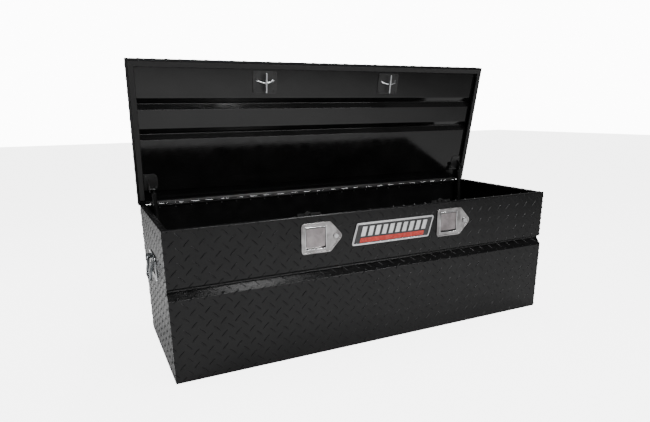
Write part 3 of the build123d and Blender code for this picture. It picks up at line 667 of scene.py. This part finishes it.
def slanted_plate(name, half_width, low, high, base, rise):
    """A flat plate whose ends lean with the badge."""
    centre = (BADGE_LOW + BADGE_HIGH) / 2
    size = (2 * half_width, rise, high - low)
    middle_x = centre.x + (low + high) / 2 * BADGE_LEAN
    place = (middle_x, base - rise / 2, centre.z + (low + high) / 2)
    plate = block(name, size, place)
    for vertex in plate.data.vertices:
        vertex.co.x += (vertex.co.z - place[2]) * BADGE_LEAN
    return plate


badge_face = BADGE_LOW.y
rim_half = BADGE_HALF - RIM_INSET
rim = slanted_plate("badge_rim", rim_half, -RIM_HALF_HEIGHT, RIM_HALF_HEIGHT, badge_face, RIM_RISE)
pick_faces(rim, lambda centre, normal: normal.y < -SQUARE_ON)
bpy.ops.mesh.inset(thickness=RIM_BORDER)
bpy.ops.mesh.extrude_region_move(TRANSFORM_OT_translate={"value": (0, RIM_DISH, 0)})
close_edit()
bevelled(rim, 0.35 * MM)
finish_piece(rim, "tub", CHROME)
field_half = BADGE_HALF - FIELD_INSET
field_face = badge_face - FIELD_STEP
field = slanted_plate(
    "badge_field", field_half, -FIELD_HALF_HEIGHT, FIELD_HALF_HEIGHT, field_face, FIELD_RISE
)
bevelled(field, 0.1 * MM)
finish_piece(field, "tub", FIELD)

stripes = []
stripe_face = badge_face - STRIPE_STEP
for i in range(STRIPE_COUNT):
    stripe = slanted_plate(f"stripe_{i}", STRIPE_HALF, STRIPE_LOW, STRIPE_HIGH, stripe_face, STRIPE_RISE)
    stripe.location.x = (i - (STRIPE_COUNT - 1) / 2) * STRIPE_PITCH
    set_down(stripe)
    bevelled(stripe, 0.6 * MM)
    stripes.append(stripe)
finish_piece(join(stripes, "badge_stripes"), "tub", CHROME)

# ---- floor, light and camera ------------------------------------------------------------
# The camera sees a near-white floor and backdrop, and the box is lit by a dim surround and four lights.
floor_material, floor_tree, floor_shader = new_finish("studio_floor")
floor_shader.inputs["Roughness"].default_value = 0.6
floor_tone = shades(floor_tree, noise(floor_tree, 3, 2), (0.80, 0.80, 0.80), (0.83, 0.83, 0.83))
floor_tree.links.new(floor_tone, floor_shader.inputs["Base Color"])
floor_shader.inputs["Emission Color"].default_value = (1, 1, 1, 1)
floor_seen = floor_tree.nodes.new("ShaderNodeLightPath")
floor_glow = floor_tree.nodes.new("ShaderNodeMath")
floor_glow.operation = "MULTIPLY"
floor_glow.inputs[1].default_value = 5.0
floor_tree.links.new(floor_seen.outputs["Is Camera Ray"], floor_glow.inputs[0])
floor_tree.links.new(floor_glow.outputs["Value"], floor_shader.inputs["Emission Strength"])
bpy.ops.object.select_all(action="DESELECT")
bpy.ops.mesh.primitive_plane_add(size=30, location=(0, 0, -0.5 * MM))
floor = bpy.context.active_object
floor.name = "floor"
floor.data.materials.append(floor_material)

world = bpy.data.worlds.new("studio")
bpy.context.scene.world = world
world.use_nodes = True
world_tree = world.node_tree
surround = world_tree.nodes["Background"]
surround.inputs["Color"].default_value = (1, 1, 1, 1)
surround.inputs["Strength"].default_value = 0.10
backdrop = world_tree.nodes.new("ShaderNodeBackground")
backdrop.inputs["Color"].default_value = (1, 1, 1, 1)
backdrop.inputs["Strength"].default_value = 12.0
seen = world_tree.nodes.new("ShaderNodeLightPath")
choice = world_tree.nodes.new("ShaderNodeMixShader")
world_tree.links.new(seen.outputs["Is Camera Ray"], choice.inputs["Fac"])
world_tree.links.new(surround.outputs["Background"], choice.inputs[1])
world_tree.links.new(backdrop.outputs["Background"], choice.inputs[2])
world_tree.links.new(choice.outputs["Shader"], world_tree.nodes["World Output"].inputs["Surface"])


def softbox(name, place, target, size, power):
    """A soft rectangular light turned towards a point."""
    data = bpy.data.lights.new(name, "AREA")
    data.shape = "RECTANGLE"
    data.size, data.size_y = size
    data.energy = power
    lamp = bpy.data.objects.new(name, data)
    bpy.context.scene.collection.objects.link(lamp)
    lamp.location = place
    lamp.rotation_euler = (Vector(target) - Vector(place)).to_track_quat("-Z", "Y").to_euler()


softbox("top_light", (0.0, 0.6, 3.4), (0, 0, 0.4), (3.2, 1.4), 20)
softbox("edge_strip", (0.7, -0.4, 3.0), (0, -0.25, 0.4), (3.2, 0.2), 75)
softbox("front_strip", (0.45, -3.3, 1.6), (0, 0, 0.4), (3.5, 0.35), 70)
softbox("left_light", (-3.2, 0.9, 1.3), (-0.7, 0, 0.3), (1.6, 1.8), 80)

CAMERA_PLACE = Vector((-0.9555, -1.7759, 0.8225))
YAW, PITCH, ROLL = math.radians(25.01), math.radians(-16.21), math.radians(-0.79)
view = Vector((math.sin(YAW) * math.cos(PITCH), math.cos(YAW) * math.cos(PITCH), math.sin(PITCH)))
level_right = view.cross(Z).normalized()
level_up = level_right.cross(view)
right = level_right * math.cos(ROLL) + level_up * math.sin(ROLL)
up = level_up * math.cos(ROLL) - level_right * math.sin(ROLL)
camera_data = bpy.data.cameras.new("camera")
camera_data.sensor_width = 36
camera_data.lens = 28.6
camera_data.shift_x = 0.0042
camera_data.shift_y = 0.0777
camera = bpy.data.objects.new("camera", camera_data)
bpy.context.scene.collection.objects.link(camera)
camera.matrix_world = Matrix.Translation(CAMERA_PLACE) @ Matrix((right, up, -view)).transposed().to_4x4()
bpy.context.scene.camera = camera
